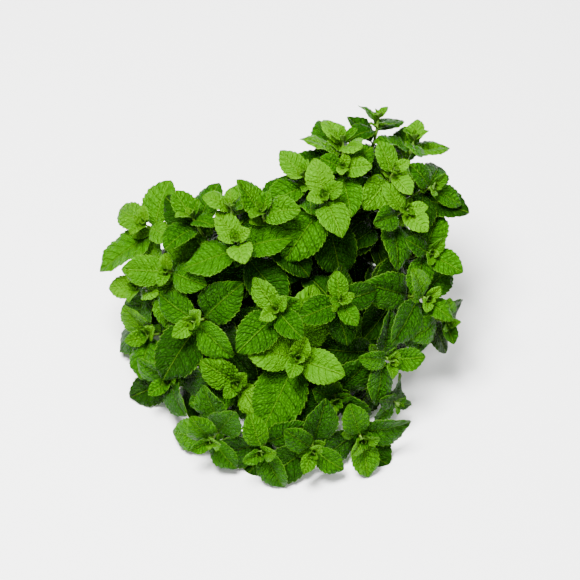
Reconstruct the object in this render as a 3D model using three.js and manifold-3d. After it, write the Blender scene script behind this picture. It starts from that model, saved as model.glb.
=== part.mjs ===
// A bunch of fresh mint: leafy sprigs held by one rubber band round their bare stems, lying on its side.
// The band and the pressed lower leaves touch the surface, and the stems fan out of the band into a dome of leaves.
// Millimetres, +X right, +Y towards the cut ends of the stems, +Z up.
import * as THREE from "three";
import { mergeVertices } from "three/addons/utils/BufferGeometryUtils.js";
import Module from "manifold-3d";

const wasm = await Module();
wasm.setup();

const DEG = Math.PI / 180;

// The dome is laid out as it is seen from the front, looking down at this angle above the surface.
const SIGHT = 50 * DEG;
const RIGHT = new THREE.Vector3(1, 0, 0);
const UPWARD = new THREE.Vector3(0, Math.sin(SIGHT), Math.cos(SIGHT));
const TOWARDS = new THREE.Vector3(0, -Math.cos(SIGHT), Math.sin(SIGHT));

// The band, with a flat of its outside down on the surface, and the stems' cut tails behind it. The tails spread out
// by a share of their distance from the band's middle, less of it downwards, and differ in length.
const BAND_INNER_RADIUS = 15.6;
const BAND_THICKNESS = 1.5;
const BAND_WIDTH = 7;
const BAND_SIDES = 28;
const BAND_REST = (BAND_INNER_RADIUS + BAND_THICKNESS) * Math.cos(Math.PI / BAND_SIDES);
const TIE = new THREE.Vector3(0, 0, BAND_REST);
const TAIL_TURN = 16 * DEG;
const TAIL = new THREE.Vector3(Math.sin(TAIL_TURN), Math.cos(TAIL_TURN), 0);
const TAIL_SIDE = new THREE.Vector3(Math.cos(TAIL_TURN), -Math.sin(TAIL_TURN), 0);
const TAIL_LENGTH = 76;
const TAIL_LENGTH_SPREAD = 22;
const TAIL_SPLAY = 0.45;
const TAIL_DROP_SHARE = 0.3;

// Stems cross the band in rings of places round its middle.
const RING_SPOTS = [1, 6, 12, 18];
const RING_STEP = 4.3;

// Square stems, measured from the middle to a corner: thinnest at the tip, and full from a share of their length.
const STEM_CORNER = 1.5;
const STEM_TIP_CORNER = 1.0;
const STEM_FULL_AT = 0.4;
const BARE_RINGS = [0.55, 0.7, 0.85, 1];
const STEM_PULL = 0.36;

// How the stems' places in the band are shared out: by where the tips are, then by swaps that give more room.
const STEM_POINTS = 40;
const STEM_ROOM = 6;
const SPOT_SHARE = 0.12;
const SWAP_ROUNDS = 8;
const LEAST_GAIN = 0.01;
const CROWDING_POWER = 4;

// The tips are on a dome round the band, and none is lower than this above the surface.
const DOME_RADIUS = 152;
const LOWEST_TIP = 26;

// The smallest leaves are still closed round the tip as a pointed bud, sized by the longest leaf of the sprig.
const BUD_LENGTH_SHARE = 0.2;
const BUD_CORNER_SHARE = 0.05;
const BUD_WIDEST_AT = 0.35;

// Leaf pairs from the tip down: length as a share of the longest leaf, distance from the tip for a 50 mm leaf,
// angle to the stem and bend along the leaf in degrees.
const PAIRS = [
  { share: 0.66, down: 6, pitch: 50, curl: 36 },
  { share: 0.94, down: 15, pitch: 64, curl: 40 },
  { share: 1.0, down: 30, pitch: 74, curl: 44 },
  { share: 0.94, down: 50, pitch: 78, curl: 48 },
  { share: 0.85, down: 72, pitch: 80, curl: 50 },
];
const LEAF_REFERENCE = 50;

// How much leaves differ: their turn round the stem, share of length, angle to the stem, bend and twist in degrees,
// and fold. An upright sprig is more even, down to a share of that.
const TURN_SPREAD = 34;
const LENGTH_SPREAD = 0.26;
const PITCH_SPREAD = 38;
const CURL_SPREAD = 50;
const TWIST_SPREAD = 76;
const FOLD_SPREAD = 0.4;
const UPRIGHT_SHARE = 0.3;
const LEAN_SHARE = 2.4;

// Every leaf is a rounded oval with a stalk, folded a little at its midrib, in mm where it isn't a share.
const LEAF_WIDTH_SHARE = 0.62;
const LEAF_THICKNESS = 0.7;
const LEAF_FOLD = 0.2;
const PETIOLE_SHARE = 0.09;
const BASE_ROUNDNESS = 0.6;
const TIP_ROUNDNESS = 0.72;
const OVAL_PEAK = 0.4027;
const ROOT_SUNK = 0.6;

// What is kept free round a leaf, where its blade starts for that test, and how far a leaf may be pressed down.
const CLEARANCE = 0.45;
const BLADE_FROM = 0.16;
const FLOOR_GIVE = 7;
const FLOOR_SLOPE = 0.4;
const SEED = 4127;

// Half outlines of a leaf: share of its length, and how far a tooth stands out of the smooth edge or is cut into it.
const OUTLINES = [
  { under: 15, edge: [[0.45, 1]], rib: [] },
  { under: 26, edge: [[0.2, 1], [0.5, 1.06], [0.8, 1.02]], rib: [0.5] },
  { under: 38, edge: [[0.14, 1], [0.4, 1.05], [0.47, 0.92], [0.76, 1.08]], rib: [0.42, 0.72] },
  { under: 99, edge: [[0.13, 1], [0.35, 1.05], [0.41, 0.93], [0.64, 1.08], [0.71, 0.88]], rib: [0.36, 0.66] },
];

// When a leaf would touch another sprig it is turned, raised or lowered, and then made smaller, until it is clear.
const LEAF_SCALES = [1, 0.86, 0.72];
const LEAF_SHIFTS = [
  [0, 0], [12, 0], [-12, 0], [0, -12], [0, 12], [12, 12], [-12, 12], [12, -14], [-12, -14],
  [24, 0], [-24, 0], [0, -26], [0, 24], [24, 16], [-24, 16], [24, -24], [-24, -24], [36, -8], [-36, -8],
];

// Each sprig: where its tip is seen from the band (right, up), how it leans (right, up, for 1 towards the eye),
// the turn of its first leaf pair in degrees, its longest leaf and its number of leaf pairs.
const SPRIGS = [
  [-10, -76, 0.0, 0.05, 70, 58, 3],
  [-24, -44, -0.25, 0.1, 35, 42, 4],
  [18, -38, 0.2, 0.15, 20, 34, 3],
  [-97, -18, -0.35, 0.1, 80, 45, 4],
  [-113, 14, -0.45, 0.4, 60, 44, 4],
  [-79, -52, -0.35, -0.1, 45, 50, 4],
  [-50, 2, -0.2, 0.45, 10, 43, 4],
  [-33, 20, -0.15, 0.7, 60, 43, 4],
  [-54, 24, -0.2, 1.4, 85, 34, 3],
  [8, 30, -0.1, 0.25, 25, 46, 4],
  [20, 50, 0.05, 0.3, 80, 34, 3],
  [-6, 44, -0.6, 0.8, 40, 36, 3],
  [20, 68, -0.1, 1.3, 15, 38, 4],
  [44, 84, 0.1, 1.9, 50, 30, 4],
  [68, 70, 0.2, 1.2, 5, 34, 4],
  [54, 48, 0.3, 0.6, 30, 34, 4],
  [80, 38, 0.6, 0.1, 60, 36, 3],
  [62, 22, 0.45, 0.1, 15, 38, 4],
  [78, -6, 0.35, 0.0, 65, 38, 4],
  [76, -36, 0.45, -0.1, 50, 38, 4],
  [90, -52, 0.8, -0.3, 10, 30, 3],
  [52, -78, 0.45, -0.3, 85, 38, 4],
  [57, -107, 1.0, -0.5, 50, 24, 3],
  [33, -130, 0.25, -0.4, 20, 43, 4],
  [0, -138, 0.0, -0.5, 60, 42, 4],
  [-34, -138, -0.15, -0.4, 15, 44, 4],
  [-68, -131, -0.35, -0.4, 30, 42, 4],
  [-98, -93, -0.35, -0.15, 30, 46, 4],
  [-112, -62, -0.45, -0.05, 25, 52, 4],
  [-118, -28, -0.6, 0.1, 75, 42, 3],
  [-50, -94, -0.25, -0.1, 40, 46, 3],
  [-80, 18, -0.4, 0.9, 40, 38, 3],
  [16, -104, 0.15, -0.4, 45, 42, 3],
];

// Numbers from 0 to 1 that are the same on every run.
function draws(seed) {
  let state = seed;
  return () => {
    state = (state * 48271) % 2147483647;
    return state / 2147483647;
  };
}

function solidOf(positions, triangles) {
  return new wasm.Manifold(
    new wasm.Mesh({
      numProp: 3,
      vertProperties: new Float32Array(positions.flatMap((p) => [p.x, p.y, p.z])),
      triVerts: new Uint32Array(triangles),
    }),
  );
}

// Where a sprig's tip is: on the dome, over the place where it is seen, and never too low for its leaves.
function tipOf([right, up]) {
  const reach = Math.sqrt(DOME_RADIUS ** 2 - right ** 2 - up ** 2);
  const least = (LOWEST_TIP - TIE.z - up * UPWARD.z) / TOWARDS.z;
  return TIE.clone()
    .addScaledVector(RIGHT, right)
    .addScaledVector(UPWARD, up)
    .addScaledVector(TOWARDS, Math.max(reach, least));
}

// Where a stem can cross the band: one place in the middle, and rings of places round it.
function bandSpots() {
  return RING_SPOTS.flatMap((room, ring) =>
    Array.from({ length: room }, (_, i) => {
      const turn = ((i + 0.5 * (ring % 2)) * 2 * Math.PI) / room;
      return TIE.clone()
        .addScaledVector(TAIL_SIDE, Math.cos(turn) * ring * RING_STEP)
        .add(new THREE.Vector3(0, 0, Math.sin(turn) * ring * RING_STEP));
    }),
  );
}

// The curve of a stem from its tip to its place in the band, with points along it.
function curveOf(row, tip, spot) {
  const aim = RIGHT.clone()
    .multiplyScalar(row[2])
    .addScaledVector(UPWARD, row[3])
    .add(TOWARDS)
    .normalize();
  const pull = tip.distanceTo(spot) * STEM_PULL;
  const curve = new THREE.CubicBezierCurve3(
    tip,
    tip.clone().addScaledVector(aim, -pull),
    spot.clone().addScaledVector(TAIL, -pull),
    spot,
  );
  return { curve, spot, length: 3 * pull, points: curve.getPoints(STEM_POINTS) };
}

// How much two stems are in each other's way: nothing when they are a stem's room apart everywhere.
function crowding(one, other) {
  let nearest = STEM_ROOM ** 2;
  for (const p of one.points) for (const q of other.points) nearest = Math.min(nearest, p.distanceToSquared(q));
  return (STEM_ROOM - Math.sqrt(nearest)) ** CROWDING_POWER;
}

// The stems share out the places in the band, and change places while that leaves them more room.
function curvesOf(rows) {
  const tips = rows.map(tipOf);
  const free = bandSpots();
  const middle = tips.reduce((sum, tip) => sum.add(tip), new THREE.Vector3()).divideScalar(tips.length);
  const curves = rows.map((row, i) => {
    const across = tips[i].clone().sub(middle).multiplyScalar(SPOT_SHARE);
    const wanted = TIE.clone().addScaledVector(TAIL_SIDE, across.dot(TAIL_SIDE)).add(new THREE.Vector3(0, 0, across.z));
    free.sort((a, b) => a.distanceTo(wanted) - b.distanceTo(wanted));
    return curveOf(row, tips[i], free.shift());
  });
  const costOf = (curve, but) =>
    curves.reduce((sum, other, k) => (but.includes(k) ? sum : sum + crowding(curve, other)), 0);
  for (let round = 0, moved = true; moved && round < SWAP_ROUNDS; round++) {
    moved = false;
    for (let i = 0; i < curves.length; i++) {
      for (let j = i + 1; j < curves.length; j++) {
        const swapped = [curveOf(rows[i], tips[i], curves[j].spot), curveOf(rows[j], tips[j], curves[i].spot)];
        const now = costOf(curves[i], [i, j]) + costOf(curves[j], [i, j]) + crowding(curves[i], curves[j]);
        if (now < LEAST_GAIN) continue;
        const next = costOf(swapped[0], [i, j]) + costOf(swapped[1], [i, j]) + crowding(...swapped);
        if (next > now - LEAST_GAIN) continue;
        [curves[i], curves[j]] = swapped;
        moved = true;
      }
      for (let k = 0; k < free.length; k++) {
        const changed = curveOf(rows[i], tips[i], free[k]);
        if (costOf(changed, [i]) > costOf(curves[i], [i]) - LEAST_GAIN) continue;
        free[k] = curves[i].spot;
        curves[i] = changed;
        moved = true;
      }
    }
  }
  return curves;
}

// A sprig's stem: its curve from the tip to the band, and a straight cut tail behind it.
function stemOf(found, random) {
  const splay = found.spot.clone().sub(TIE).multiplyScalar(TAIL_SPLAY);
  if (splay.z < 0) splay.z *= TAIL_DROP_SHARE;
  const cut = found.spot
    .clone()
    .add(splay)
    .addScaledVector(TAIL, TAIL_LENGTH + TAIL_LENGTH_SPREAD * (random() - 0.5));
  return { ...found, cut };
}

// Two directions square to the stem at a point along it, and the way to the tip.
function frameOn(stem, along) {
  const axis = stem.curve.getTangent(along).negate();
  const first = RIGHT.clone().addScaledVector(axis, -axis.dot(RIGHT)).normalize();
  return { axis, first, second: axis.clone().cross(first) };
}

// Where the rings of a stem's corners are: at its tip, between its leaf pairs and along its bare length.
function ringPlacesOf(pairPlaces) {
  const between = pairPlaces.slice(1).map((place, i) => (place + pairPlaces[i]) / 2);
  const bare = BARE_RINGS.filter((along) => along > pairPlaces[pairPlaces.length - 1] + 0.04);
  return [0, ...between, ...bare];
}

// The middle of a stem at a place along it: it runs straight between its rings.
function middleOf(stem, along) {
  const next = stem.ringPlaces.findIndex((place) => place > along);
  const [from, to] = stem.ringPlaces.slice(next - 1, next + 1);
  return stem.curve.getPoint(from).lerp(stem.curve.getPoint(to), (along - from) / (to - from));
}

function stemCorner(along) {
  const grown = Math.min(1, along / STEM_FULL_AT);
  return STEM_TIP_CORNER + (STEM_CORNER - STEM_TIP_CORNER) * Math.sqrt(grown);
}

// The square stem with its pointed bud and its cut end, its flats turned to its leaves.
function stemSolid(stem, spin, longest) {
  const rings = stem.ringPlaces.map((along) => {
    const { first, second } = frameOn(stem, along);
    return { middle: stem.curve.getPoint(along), first, second, corner: stemCorner(along) };
  });
  const { axis } = frameOn(stem, 0);
  const budLength = longest * BUD_LENGTH_SHARE;
  const widest = rings[0].middle.clone().addScaledVector(axis, budLength * BUD_WIDEST_AT);
  rings.unshift({ ...rings[0], middle: widest, corner: longest * BUD_CORNER_SHARE });
  rings.push({ ...rings[rings.length - 1], middle: stem.cut });
  const corners = rings.flatMap(({ middle, first, second, corner }) =>
    [45, 135, 225, 315].map((turn) =>
      middle
        .clone()
        .addScaledVector(first, corner * Math.cos((spin + turn) * DEG))
        .addScaledVector(second, corner * Math.sin((spin + turn) * DEG)),
    ),
  );
  const point = corners.push(rings[1].middle.clone().addScaledVector(axis, budLength)) - 1;
  const triangles = [];
  for (let i = 0; i < 4; i++) triangles.push(point, i, (i + 1) % 4);
  for (let ring = 0; ring + 1 < rings.length; ring++)
    for (let i = 0; i < 4; i++) {
      const a = ring * 4 + i;
      const b = ring * 4 + ((i + 1) % 4);
      triangles.push(a, a + 4, b, b, a + 4, b + 4);
    }
  const last = (rings.length - 1) * 4;
  triangles.push(last, last + 2, last + 1, last, last + 3, last + 2);
  return solidOf(corners, triangles);
}

// Half the width of a leaf at a share of its length: a round base after the stalk, and a blunt tip.
function halfWidth(leaf, t) {
  const x = Math.min(1, Math.max(0, (t - PETIOLE_SHARE) / (1 - PETIOLE_SHARE)));
  return ((leaf.width / 2) * x ** BASE_ROUNDNESS * (1 - x) ** TIP_ROUNDNESS) / OVAL_PEAK;
}

// A point of a leaf: t along it, side from -1 to 1 across, and a height over its middle surface.
// Where the leaf meets the surface that the bunch lies on, it is pressed flat along it.
function leafPoint(leaf, t, side, spread, height) {
  const angle = leaf.pitch + leaf.curl * t;
  const ahead = (Math.sin(angle) - Math.sin(leaf.pitch)) / leaf.curl;
  const outward = (Math.cos(leaf.pitch) - Math.cos(angle)) / leaf.curl;
  const normal = leaf.axis.clone().multiplyScalar(Math.sin(angle)).addScaledVector(leaf.out, -Math.cos(angle));
  const turn = leaf.twist * t;
  const across = leaf.side.clone().multiplyScalar(Math.cos(turn)).addScaledVector(normal, Math.sin(turn));
  normal.multiplyScalar(Math.cos(turn)).addScaledVector(leaf.side, -Math.sin(turn));
  const half = halfWidth(leaf, t) * spread;
  const point = leaf.root
    .clone()
    .addScaledVector(leaf.axis, ahead * leaf.length)
    .addScaledVector(leaf.out, outward * leaf.length)
    .addScaledVector(across, side * half)
    .addScaledVector(normal, Math.abs(side) * half * leaf.fold);
  const below = LEAF_THICKNESS / 2 - point.z;
  if (below > 0) {
    leaf.deepest = Math.max(leaf.deepest, Math.abs(normal.z) < FLOOR_SLOPE ? FLOOR_GIVE + below : below);
    return point.setZ(LEAF_THICKNESS / 2 + height);
  }
  return point.addScaledVector(normal, height);
}

// The blade as a closed solid: the same triangles on both faces, and a rim between them.
function leafSolid(leaf, thickness, from) {
  const outline = OUTLINES.find((o) => leaf.length < o.under);
  const { rib } = outline;
  const edge = outline.edge.filter(([t]) => t > from);
  const places = [[from, 0, 1]];
  const sides = [1, -1].map((side) => edge.map(([t, spread]) => places.push([t, side, spread]) - 1));
  const tip = places.push([1, 0, 1]) - 1;
  const ribs = rib.map((t) => places.push([t, 0, 1]) - 1);
  const flat = places.map(([t, side, spread]) => new THREE.Vector2(t * leaf.length, side * halfWidth(leaf, t) * spread));
  const faces = [];
  sides.forEach((side, which) => {
    const loop = [0, ...side, tip, ...[...ribs].reverse()];
    const halves = THREE.ShapeUtils.triangulateShape(loop.map((i) => flat[i]), []);
    halves.forEach(([a, b, c]) => {
      const [p, q, r] = [flat[loop[a]], flat[loop[b]], flat[loop[c]]];
      const turned = (q.x - p.x) * (r.y - p.y) - (q.y - p.y) * (r.x - p.x) < 0;
      faces.push(turned ? [loop[a], loop[c], loop[b]] : [loop[a], loop[b], loop[c]]);
    });
  });
  const count = places.length;
  const rim = [0, ...sides[1], tip, ...[...sides[0]].reverse()];
  const triangles = faces.flatMap(([a, b, c]) => [a, b, c, count + a, count + c, count + b]);
  rim.forEach((a, i) => {
    const b = rim[(i + 1) % rim.length];
    triangles.push(a, count + a, b, b, count + a, count + b);
  });
  leaf.deepest = 0;
  const top = places.map(([t, side, spread]) => leafPoint(leaf, t, side, spread, thickness / 2));
  const bottom = places.map(([t, side, spread]) => leafPoint(leaf, t, side, spread, -thickness / 2));
  return solidOf([...top, ...bottom], triangles);
}

// Whether a leaf is clear of the other sprigs, stalk and all, and its blade of the leaves of its own sprig.
function isClear(leaf, sprig, standing) {
  const around = LEAF_THICKNESS + 2 * CLEARANCE;
  const whole = leafSolid(leaf, around, 0);
  if (leaf.deepest >= FLOOR_GIVE) return false;
  const box = boxOf(whole);
  const near = standing.filter((one) => box.intersectsBox(one.box));
  if (!near.every((one) => one.sprig === sprig || whole.intersect(one.solid).isEmpty())) return false;
  const blade = leafSolid(leaf, around, BLADE_FROM);
  return near.every((one) => one.sprig !== sprig || !one.blade || blade.intersect(one.blade).isEmpty());
}

function boxOf(solid) {
  const { min, max } = solid.boundingBox();
  return new THREE.Box3(new THREE.Vector3(...min), new THREE.Vector3(...max));
}

// One leaf with its own small differences, and then the first of its shifts that is clear of what is there.
function placeLeaf(sprig, pairIndex, which, standing) {
  const pair = PAIRS[pairIndex];
  const { random, row, stem } = sprig;
  const along = sprig.places[pairIndex];
  const unevenness = Math.min(1, UPRIGHT_SHARE + LEAN_SHARE * Math.hypot(row[2], row[3]));
  const jitter = Array.from({ length: 6 }, () => (random() - 0.5) * unevenness);
  const { axis, first, second } = frameOn(stem, along);
  const rootOut = Math.max(0.1, stemCorner(along) * Math.SQRT1_2 - ROOT_SUNK);
  for (const scale of LEAF_SCALES)
    for (const [turn, raise] of LEAF_SHIFTS) {
      const azimuth = (row[4] + 90 * (pairIndex + 1) + 180 * which + TURN_SPREAD * jitter[0] + turn) * DEG;
      const out = first.clone().multiplyScalar(Math.cos(azimuth)).addScaledVector(second, Math.sin(azimuth));
      const length = row[5] * pair.share * (1 + LENGTH_SPREAD * jitter[1]) * scale;
      const leaf = {
        axis,
        out,
        side: axis.clone().cross(out),
        root: middleOf(stem, along).addScaledVector(out, rootOut),
        pitch: (pair.pitch + PITCH_SPREAD * jitter[2] + raise) * DEG,
        curl: (pair.curl + CURL_SPREAD * jitter[3]) * DEG,
        twist: TWIST_SPREAD * jitter[4] * DEG,
        fold: LEAF_FOLD + FOLD_SPREAD * jitter[5],
        length,
        width: length * LEAF_WIDTH_SHARE,
      };
      if (!isClear(leaf, sprig, standing)) continue;
      const solid = leafSolid(leaf, LEAF_THICKNESS, 0);
      standing.push({ sprig, solid, blade: leafSolid(leaf, LEAF_THICKNESS, BLADE_FROM), box: boxOf(solid) });
      return solid;
    }
  return null;
}

// The band, with one of its flats down on the surface.
function bandMesh() {
  const outer = BAND_INNER_RADIUS + BAND_THICKNESS;
  const half = BAND_WIDTH / 2;
  const profile = [
    [BAND_INNER_RADIUS, -half],
    [outer, -half],
    [outer, half],
    [BAND_INNER_RADIUS, half],
    [BAND_INNER_RADIUS, -half],
  ].map(([r, h]) => new THREE.Vector2(r, h));
  const rubber = new THREE.MeshStandardMaterial({ color: 0xb98a4e, roughness: 0.6, metalness: 0 });
  const band = new THREE.Mesh(new THREE.LatheGeometry(profile, BAND_SIDES), rubber);
  band.name = "rubber_band";
  band.position.copy(TIE);
  band.quaternion.setFromUnitVectors(new THREE.Vector3(0, 1, 0), TAIL);
  band.rotateY(Math.PI / BAND_SIDES);
  return band;
}

function meshOf(solid, name, material) {
  const { vertProperties, triVerts } = solid.getMesh();
  const geometry = new THREE.BufferGeometry()
    .setAttribute("position", new THREE.BufferAttribute(vertProperties, 3))
    .setIndex(new THREE.BufferAttribute(triVerts, 1));
  const mesh = new THREE.Mesh(mergeVertices(geometry), material);
  mesh.name = name;
  return mesh;
}

const curves = curvesOf(SPRIGS);
const sprigs = SPRIGS.map((row, i) => {
  const random = draws(SEED + 101 * i);
  const stem = stemOf(curves[i], random);
  const places = PAIRS.slice(0, row[6]).map((pair) => (pair.down * row[5]) / LEAF_REFERENCE / stem.length);
  stem.ringPlaces = ringPlacesOf(places);
  return { row, random, stem, places, name: `sprig_${String(i + 1).padStart(2, "0")}`, parts: [] };
});
const standing = sprigs.map((sprig) => {
  const solid = stemSolid(sprig.stem, sprig.row[4], sprig.row[5]);
  sprig.parts.push(solid);
  return { sprig, solid, blade: null, box: boxOf(solid) };
});
PAIRS.forEach((_, pairIndex) =>
  sprigs.forEach((sprig) => {
    if (pairIndex >= sprig.places.length) return;
    for (const which of [0, 1]) {
      const solid = placeLeaf(sprig, pairIndex, which, standing);
      if (solid) sprig.parts.push(solid);
    }
  }),
);

const bunch = new THREE.Group();
bunch.name = "mint_bunch";
const green = new THREE.MeshStandardMaterial({ color: 0x4f8f1a, roughness: 0.55, metalness: 0 });
sprigs.forEach((sprig) => bunch.add(meshOf(wasm.Manifold.union(sprig.parts), sprig.name, green)));
bunch.add(bandMesh());

// The origin is under the middle of the bunch, on the surface that it lies on.
const around = new THREE.Box3().setFromObject(bunch, true);
const middle = around.getCenter(new THREE.Vector3());
bunch.position.set(-middle.x, -middle.y, 0);

export default bunch;
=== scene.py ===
"""The looks of a bunch of fresh mint that lies on its side, seen from the front and above.

Every fine leaf follows the blade of the solid that it replaces: the solids' growing rule is repeated here,
and the solid's own corners tell which of the rule's variants each leaf took. Lengths are in millimetres until
a mesh is made in metres, and angles are in degrees until a rule uses them.
"""

import math
from collections import namedtuple

import bpy
import numpy as np
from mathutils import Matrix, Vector
from mathutils.bvhtree import BVHTree
from mathutils.kdtree import KDTree


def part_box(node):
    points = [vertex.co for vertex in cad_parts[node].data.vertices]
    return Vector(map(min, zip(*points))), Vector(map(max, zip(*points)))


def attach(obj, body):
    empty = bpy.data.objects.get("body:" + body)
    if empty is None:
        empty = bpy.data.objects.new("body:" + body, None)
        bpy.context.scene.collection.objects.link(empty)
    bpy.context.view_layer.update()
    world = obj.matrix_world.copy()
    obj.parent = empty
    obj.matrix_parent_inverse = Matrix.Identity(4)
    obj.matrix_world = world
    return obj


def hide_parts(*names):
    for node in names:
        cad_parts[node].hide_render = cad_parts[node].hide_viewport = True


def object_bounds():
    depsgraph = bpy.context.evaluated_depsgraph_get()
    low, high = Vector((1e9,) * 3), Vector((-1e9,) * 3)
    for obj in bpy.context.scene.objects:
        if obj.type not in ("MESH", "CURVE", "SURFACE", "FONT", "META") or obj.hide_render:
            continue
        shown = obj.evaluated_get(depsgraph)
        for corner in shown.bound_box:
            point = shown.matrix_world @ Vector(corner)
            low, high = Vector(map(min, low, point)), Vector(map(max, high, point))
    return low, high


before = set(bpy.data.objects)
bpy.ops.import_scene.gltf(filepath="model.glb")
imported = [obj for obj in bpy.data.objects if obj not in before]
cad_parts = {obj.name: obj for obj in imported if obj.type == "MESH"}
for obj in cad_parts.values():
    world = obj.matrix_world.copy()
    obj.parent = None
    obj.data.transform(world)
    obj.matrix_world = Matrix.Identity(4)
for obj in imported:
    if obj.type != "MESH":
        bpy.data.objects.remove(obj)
cad_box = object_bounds()

MM = 0.001
DEG = math.pi / 180

# From here to SPRIGS all is as in the part's source. The camera looks down by SIGHT.
SIGHT = 50 * DEG
RIGHT = np.array([1.0, 0.0, 0.0])
UPWARD = np.array([0.0, math.sin(SIGHT), math.cos(SIGHT)])
TOWARDS = np.array([0.0, -math.cos(SIGHT), math.sin(SIGHT)])

# The band, and the cut tails of the stems that splay behind it. Each stem has a spot in one of four rings.
BAND_INNER_RADIUS = 15.6
BAND_THICKNESS = 1.5
BAND_WIDTH = 7.0
BAND_SIDES = 28
BAND_REST = (BAND_INNER_RADIUS + BAND_THICKNESS) * math.cos(math.pi / BAND_SIDES)
TIE = np.array([0.0, 0.0, BAND_REST])
TAIL_TURN = 16 * DEG
TAIL = np.array([math.sin(TAIL_TURN), math.cos(TAIL_TURN), 0.0])
TAIL_SIDE = np.array([math.cos(TAIL_TURN), -math.sin(TAIL_TURN), 0.0])
TAIL_LENGTH = 76
TAIL_LENGTH_SPREAD = 22
TAIL_SPLAY = 0.45
TAIL_DROP_SHARE = 0.3
RING_SPOTS = [1, 6, 12, 18]
RING_STEP = 4.3

# Stems: half their diagonal, where they reach it, and how they run from the dome of the tips to the band.
STEM_CORNER = 1.5
STEM_TIP_CORNER = 1.0
STEM_FULL_AT = 0.4
BARE_RINGS = [0.55, 0.7, 0.85, 1]
BARE_RING_GAP = 0.04
STEM_PULL = 0.36
NEARBY = 1e-4
DOME_RADIUS = 152
LOWEST_TIP = 26

# Leaf pairs from the tip down: share of the longest leaf, distance from the tip, angle to the stem and bend.
PAIRS = [
    (0.66, 6, 50, 36),
    (0.94, 15, 64, 40),
    (1.0, 30, 74, 44),
    (0.94, 50, 78, 48),
    (0.85, 72, 80, 50),
]
LEAF_REFERENCE = 50

# How far chance spreads the leaves, in degrees or as a share, and how much of it a sprig gets as it leans.
TURN_SPREAD = 34
LENGTH_SPREAD = 0.26
PITCH_SPREAD = 38
CURL_SPREAD = 50
TWIST_SPREAD = 76
FOLD_SPREAD = 0.4
UPRIGHT_SHARE = 0.3
LEAN_SHARE = 2.4

# The solid blade.
LEAF_WIDTH_SHARE = 0.62
LEAF_THICKNESS = 0.7
LEAF_FOLD = 0.2
PETIOLE_SHARE = 0.09
BASE_ROUNDNESS = 0.6
TIP_ROUNDNESS = 0.72
OVAL_PEAK = 0.4027
ROOT_SUNK = 0.6
LEAST_ROOT = 0.1

# What chance starts from, and the sizes, turns and raises that a leaf tries until it is clear.
SEED = 4127
SEED_STEP = 101
LEAF_SCALES = [1, 0.86, 0.72]
LEAF_SHIFTS = [
    (0, 0), (12, 0), (-12, 0), (0, -12), (0, 12), (12, 12), (-12, 12), (12, -14), (-12, -14),
    (24, 0), (-24, 0), (0, -26), (0, 24), (24, 16), (-24, 16), (24, -24), (-24, -24), (36, -8), (-36, -8),
]

# Each sprig: where its tip is seen from the band, how it leans, the turn of its first leaf pair, its longest
# leaf and its number of leaf pairs.
Sprig = namedtuple("Sprig", "right up lean_right lean_up turn longest pairs")
SPRIGS = [
    Sprig(-10, -76, 0.0, 0.05, 70, 58, 3),
    Sprig(-24, -44, -0.25, 0.1, 35, 42, 4),
    Sprig(18, -38, 0.2, 0.15, 20, 34, 3),
    Sprig(-97, -18, -0.35, 0.1, 80, 45, 4),
    Sprig(-113, 14, -0.45, 0.4, 60, 44, 4),
    Sprig(-79, -52, -0.35, -0.1, 45, 50, 4),
    Sprig(-50, 2, -0.2, 0.45, 10, 43, 4),
    Sprig(-33, 20, -0.15, 0.7, 60, 43, 4),
    Sprig(-54, 24, -0.2, 1.4, 85, 34, 3),
    Sprig(8, 30, -0.1, 0.25, 25, 46, 4),
    Sprig(20, 50, 0.05, 0.3, 80, 34, 3),
    Sprig(-6, 44, -0.6, 0.8, 40, 36, 3),
    Sprig(20, 68, -0.1, 1.3, 15, 38, 4),
    Sprig(44, 84, 0.1, 1.9, 50, 30, 4),
    Sprig(68, 70, 0.2, 1.2, 5, 34, 4),
    Sprig(54, 48, 0.3, 0.6, 30, 34, 4),
    Sprig(80, 38, 0.6, 0.1, 60, 36, 3),
    Sprig(62, 22, 0.45, 0.1, 15, 38, 4),
    Sprig(78, -6, 0.35, 0.0, 65, 38, 4),
    Sprig(76, -36, 0.45, -0.1, 50, 38, 4),
    Sprig(90, -52, 0.8, -0.3, 10, 30, 3),
    Sprig(52, -78, 0.45, -0.3, 85, 38, 4),
    Sprig(57, -107, 1.0, -0.5, 50, 24, 3),
    Sprig(33, -130, 0.25, -0.4, 20, 43, 4),
    Sprig(0, -138, 0.0, -0.5, 60, 42, 4),
    Sprig(-34, -138, -0.15, -0.4, 15, 44, 4),
    Sprig(-68, -131, -0.35, -0.4, 30, 42, 4),
    Sprig(-98, -93, -0.35, -0.15, 30, 46, 4),
    Sprig(-112, -62, -0.45, -0.05, 25, 52, 4),
    Sprig(-118, -28, -0.6, 0.1, 75, 42, 3),
    Sprig(-50, -94, -0.25, -0.1, 40, 46, 3),
    Sprig(-80, 18, -0.4, 0.9, 40, 38, 3),
    Sprig(16, -104, 0.15, -0.4, 45, 42, 3),
]

# The camera: the photo's middle is seen this far from the band, and its picture is this wide at the leaves.
PICTURE_MIDDLE = (-15.0, -30.6)
PICTURE_WIDTH = 394.0
PICTURE_DEPTH = 95.0
LENS = 135.0
SENSOR = 36.0


def unit(v):
    return v / np.linalg.norm(v)


# A well-known pair of numbers for drawing evenly.
DRAW_FACTOR = 48271
DRAW_MODULUS = 2147483647


def draws(seed):
    """Numbers from 0 to 1 that are the same on every run."""
    state = seed
    while True:
        state = (state * DRAW_FACTOR) % DRAW_MODULUS
        yield state / DRAW_MODULUS


def between(limits, chance):
    """A number drawn between two limits."""
    return limits[0] + (limits[1] - limits[0]) * next(chance)


# The growing rule


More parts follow.
